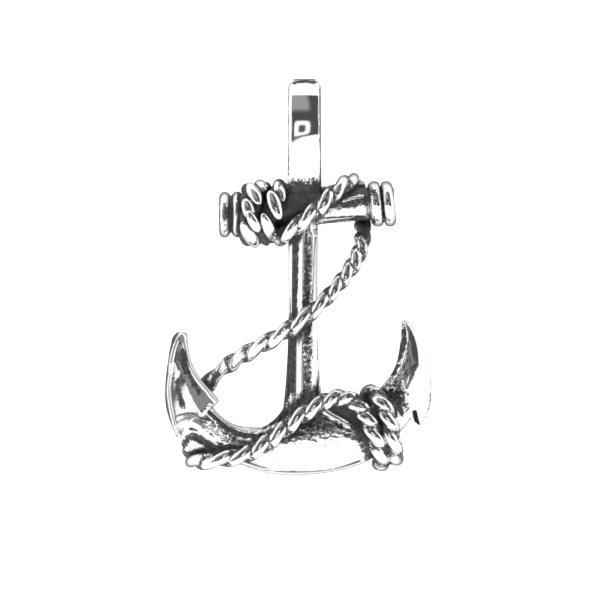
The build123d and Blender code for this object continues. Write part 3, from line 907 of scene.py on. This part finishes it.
# place along the rope's run of points and share of the full size
ropeGirths = [
    (0.0, 0.95), (0.27, 0.95), (0.30, 1.0), (0.345, 1.0), (0.42, 1.0), (0.455, 0.96), (0.475, 0.88),
    (0.50, 0.95), (0.52, 1.0), (1.0, 1.0),
]

stockLine = {"place": -5.8, "height": 7.20, "slope": 0.115}


def stockHeight(x):
    # height of the stock's axis at the knot
    return stockLine["height"] + (x - stockLine["place"]) * stockLine["slope"]


def ropeControls():
    points = []
    for x, angle, radius in knotTurns:
        turn = math.radians(angle)
        out = radius * rope["cornerShare"]
        points.append((x, stockHeight(x) + out * math.sin(turn), rope["bodyLevel"] + out * math.cos(turn)))
    return points + ropeRun


def evenLine(line, spacing):
    steps = np.linalg.norm(np.diff(line, axis=0), axis=1)
    keep = np.concatenate([[True], steps > 1e-6])
    line = line[keep]
    travelled = np.concatenate([[0.0], np.cumsum(np.linalg.norm(np.diff(line, axis=0), axis=1))])
    count = int(travelled[-1] / spacing)
    places = np.linspace(0.0, travelled[-1], count)
    return np.stack([np.interp(places, travelled, line[:, axis]) for axis in range(3)], axis=1), places


def unit(vectors):
    return vectors / np.linalg.norm(vectors, axis=-1, keepdims=True)


def carriedFrames(line):
    # a frame that is carried along the line without turning about it
    tangents = unit(np.gradient(line, axis=0))
    across = np.zeros_like(line)
    first = np.array([0.0, 0.0, 1.0])
    for index, tangent in enumerate(tangents):
        first = first - tangent * first.dot(tangent)
        first /= np.linalg.norm(first)
        across[index] = first
    return across, np.cross(tangents, across)


def crownPhases(line, places, across, beside):
    # turns the twist so that a strand lies on top at every listed crown
    rate = -2 * math.pi / rope["pitch"]
    top = np.arctan2(beside[:, 2], across[:, 2])
    spacing = places[1]
    found = []
    phases = []
    last = 0
    for x, y in ropeCrowns:
        gaps = np.hypot(line[:, 0] - x, line[:, 1] - y)
        gaps += np.where(line[:, 2] < rope["backLevel"], rope["hiddenGap"], 0.0)
        begin = last + int((rope["crownApart"] if found else 0.0) / spacing)
        window = gaps[begin:begin + int(rope["crownReach"] / spacing)]
        stop = np.nonzero(window < window.min() + rope["crownSlack"])[0][0]
        while stop + 1 < len(window) and window[stop + 1] <= window[stop]:
            stop += 1
        index = begin + stop
        if found:
            expected = phases[-1] + rate * (places[index] - places[last])
            phase = top[index] + math.pi * round((expected - top[index]) / math.pi)
        else:
            phase = top[index]
        found.append(index)
        phases.append(phase)
        last = index
    marks = places[found]
    twist = np.interp(places, marks, phases)
    twist = np.where(places < marks[0], phases[0] + rate * (places - marks[0]), twist)
    twist = np.where(places > marks[-1], phases[-1] + rate * (places - marks[-1]), twist)
    reach = int(rope["twistEase"] / spacing)
    padded = np.pad(twist, reach, mode="reflect", reflect_type="odd")
    return np.convolve(padded, np.ones(2 * reach + 1) / (2 * reach + 1), mode="valid")


def strandMesh(points, girths, radius):
    data = bpy.data.curves.new("strand", "CURVE")
    data.dimensions = "3D"
    data.bevel_depth = radius
    data.bevel_resolution = rope["strandSteps"]
    data.use_fill_caps = True
    spline = data.splines.new("POLY")
    spline.points.add(len(points) - 1)
    for point, place, girth in zip(spline.points, points, girths):
        point.co = (*place, 1.0)
        point.radius = girth
    return bakedMesh(linkMesh("strand", data))


def lobePlace(lobe):
    # where a unit ball has to go to become this strand of the knot
    x, angle, radius, length, width, lean = lobe[:6]
    middle = Matrix.Translation((x, stockHeight(x), rope["bodyLevel"]))
    around = Matrix.Rotation(math.radians(-angle), 4, "X") @ Matrix.Translation((0.0, 0.0, radius))
    laid = Matrix.Rotation(math.radians(rope["lobeLay"] * angle), 4, "X")
    leant = Matrix.Rotation(math.radians(lean), 4, "Z")
    return middle @ around @ laid @ leant @ Matrix.Diagonal((width, length, rope["lobeDepth"] * width, 1.0))


def nearestStops(points, line):
    tree = KDTree(len(line))
    for index, place in enumerate(line):
        tree.insert(place, index)
    tree.balance()
    return np.array([tree.find(point)[1] for point in points])


def inKnot(near):
    return near < rope["knotEnd"] / rope["spacing"]


def wearRope(mesh, line):
    # strands are rubbed flatter on top
    points = vertexPlaces(mesh)
    near = nearestStops(points, line)
    start, full, share, limit = rope["wear"]
    high = np.clip((points[:, 2] - line[near][:, 2] - start) / (full - start), 0.0, limit)
    high = np.where(inKnot(near), 0.0, high)
    points[:, 2] -= (full - start) * share * high**2
    mesh.vertices.foreach_set("co", points.ravel())
    mesh.update()


def tarnishAndShadeRope(mesh, line, twist, across, beside):
    # a strand is bright where it crosses the top and dark where it dives between the others
    points = vertexPlaces(mesh)
    near = nearestStops(points, line)
    strand = np.cos(twist[near])[:, None] * across[near] + np.sin(twist[near])[:, None] * beside[near]
    side = np.sign(np.einsum("ij,ij->i", points - line[near], strand))
    crown = strand[:, 2] * side
    # darker on the strand's lower side: partly tarnish left where it is not rubbed, partly painted shade
    low = 1 - smoothShare(points[:, 2] - line[near][:, 2], *rope["lowFade"])
    tarnishAndShade = np.clip(1 - smoothShare(crown, *rope["crownFade"]) + low, 0.0, 1.0) * rope["tarnishAndShade"]
    for x, y, reach, dark in ropeDark:
        away = np.hypot(points[:, 0] - x, points[:, 1] - y) / reach
        tarnishAndShade += (1 - smoothShare(away, *rope["darkEdge"])) * dark
    off = np.full(len(points), np.inf)
    own = np.zeros(len(points))
    for lobe in knotLobes:
        back = np.array(lobePlace(lobe).inverted())
        away = np.linalg.norm(points @ back[:3, :3].T + back[:3, 3], axis=1)
        own = np.where(away < off, lobe[6], own)
        off = np.minimum(off, away)
    between = np.maximum(smoothShare(off, *rope["lobeEdge"]) * rope["knotTarnish"], own)
    tarnishAndShade = np.where(inKnot(near), between, tarnishAndShade)
    layer = mesh.attributes.new("tarnishAndShade", "FLOAT", "POINT")
    layer.data.foreach_set("value", tarnishAndShade.astype(np.float32))


def makeRopes():
    line, places = evenLine(smoothLine(ropeControls()), rope["spacing"])
    across, beside = carriedFrames(line)
    twist = crownPhases(line, places, across, beside)
    shares, sizes = zip(*ropeGirths)
    girths = np.interp(places / places[-1], shares, sizes)
    x, y = rope["jointPlace"]
    joint = int(np.argmin(np.hypot(line[:, 0] - x, line[:, 1] - y)))
    print("rope", round(float(places[-1]), 1), "mm long, joint at", round(float(places[joint]), 1))
    for name, node, first, last in (
        ("upperRope", "upper_rope", 0, joint + 1),
        ("lowerRope", "lower_rope", joint, len(line)),
    ):
        both = bmesh.new()
        for side in (0.0, math.pi):
            turn = (twist + side)[:, None]
            offset = rope["strandOffset"] * girths[:, None]
            path = line + offset * (np.cos(turn) * across + np.sin(turn) * beside)
            strand = strandMesh(path[first:last], girths[first:last], rope["strandRadius"])
            both.from_mesh(strand)
            bpy.data.meshes.remove(strand)
        for lobe in knotLobes if first == 0 else ():
            around, along = rope["lobeGrid"]
            matrix = lobePlace(lobe)
            bmesh.ops.create_uvsphere(both, u_segments=around, v_segments=along, radius=1.0, matrix=matrix)
        mesh = bpy.data.meshes.new(name)
        both.to_mesh(mesh)
        both.free()
        mesh = fuse(name, mesh, rope["voxel"], rope["softening"])
        mesh = thinned(name, mesh, rope["triangles"])
        wearRope(mesh, line)
        tarnishAndShadeRope(mesh, line, twist, across, beside)
        finishPiece(name, mesh, ropeSilver, [node])


makeRopes()
print("ropes made")


# Floor and light
stage = {"reach": 1.4, "shade": 0.92, "rough": 0.9, "glow": 0.88, "wallGlow": 1.0, "wallGrid": (48, 24)}


def stagePiece(name, body, shade, glow):
    mesh = bpy.data.meshes.new(name)
    body.to_mesh(mesh)
    body.free()
    material, shader = startMaterial(name)
    surface = shader.node("BsdfPrincipled", inputs={
        "Base Color": grey(shade),
        "Roughness": stage["rough"],
        "Emission Color": grey(1.0),
        "Emission Strength": glow,
    })
    shader.node("OutputMaterial", inputs={"Surface": surface})
    mesh.materials.append(material)
    piece = linkMesh(name, mesh)
    piece.visible_glossy = False
    return piece


def makeStage(size):
    floor = bmesh.new()
    bmesh.ops.create_grid(floor, x_segments=1, y_segments=1, size=size["reach"])
    stagePiece("paleFloor", floor, size["shade"], size["glow"])
    wall = bmesh.new()
    around, along = size["wallGrid"]
    bmesh.ops.create_uvsphere(wall, u_segments=around, v_segments=along, radius=size["reach"])
    wall = stagePiece("paleWall", wall, 0.0, size["wallGlow"])
    wall.visible_diffuse = False
    wall.visible_shadow = False


# A light tent seen from the pendant, in degrees from straight up: tilt runs towards the bail's end, swing
# to the sides. The camera looks in through a dark hole with a white frame. Side panels have their swing
# from and to, their tilt from and to, and their light.
studio = {
    "white": 1.15,
    "dark": 0.075,
    "panel": 0.34,
    "panelTilt": (17, 24),
    "panelSwing": (4, 10),
    "sidePanels": [(-46, -20, -3, 15, 0.24), (20, 42, 9, 30, 0.26)],
    "shadowTilt": (-10.5, 64),
    "shadowSwing": 44,
    "hole": 3.4,
    "holeEdge": 0.5,
    "frame": 7.6,
    "frameEdge": 0.7,
    "tableFall": (92, 150),
    "table": 0.22,
    "edge": 1.6,
}


def makeLight(look):
    scene = bpy.context.scene
    world = bpy.data.worlds.new("studio")
    world.use_nodes = True
    tree = world.node_tree
    tree.nodes.clear()
    shader = Wire(tree, None)
    way = shader.node("TexCoord", out="Generated")
    apart = shader.node("SeparateXYZ", inputs={0: way})
    x, y, z = (Wire(tree, apart.socket.node.outputs[axis]) for axis in range(3))
    tilt = shader.maths("ARCTAN2", y, z) * math.degrees(1)
    swing = shader.maths("ARCTAN2", x, z) * math.degrees(1)
    aside = shader.maths("ABSOLUTE", swing)
    fall = shader.maths("ARCCOSINE", z) * math.degrees(1)

    def above(angle, stop, edge=look["edge"]):
        return angle.ease(stop - edge, stop + edge)

    start, end = look["shadowTilt"]
    dark = above(tilt, start) * (1 - above(tilt, end)) * (1 - above(aside, look["shadowSwing"]))
    panel = tilt.ease(*look["panelTilt"]) * (1 - swing.ease(*look["panelSwing"]))
    shade = panel.mixed(look["dark"], look["panel"])
    for left, right, low, high, grade in look["sidePanels"]:
        within = above(swing, left) * (1 - above(swing, right)) * above(tilt, low) * (1 - above(tilt, high))
        shade = within.mixed(shade, grade)
    square = (tilt ** 4 + swing ** 4) ** 0.25
    outside = above(square, look["hole"], look["holeEdge"])
    ring = outside * (1 - above(square, look["frame"], look["frameEdge"]))
    light = dark.mixed(look["white"], shade)
    light = ring.mixed(light, look["white"])
    light = fall.ease(*look["tableFall"]).mixed(light, look["table"])
    background = shader.node("Background", inputs={"Color": grey(1.0), "Strength": light})
    shader.node("OutputWorld", inputs={"Surface": background})
    scene.world = world
    scene.view_settings.view_transform = "Standard"
    scene.view_settings.look = "None"


makeStage(stage)
makeLight(studio)
print("stage made")
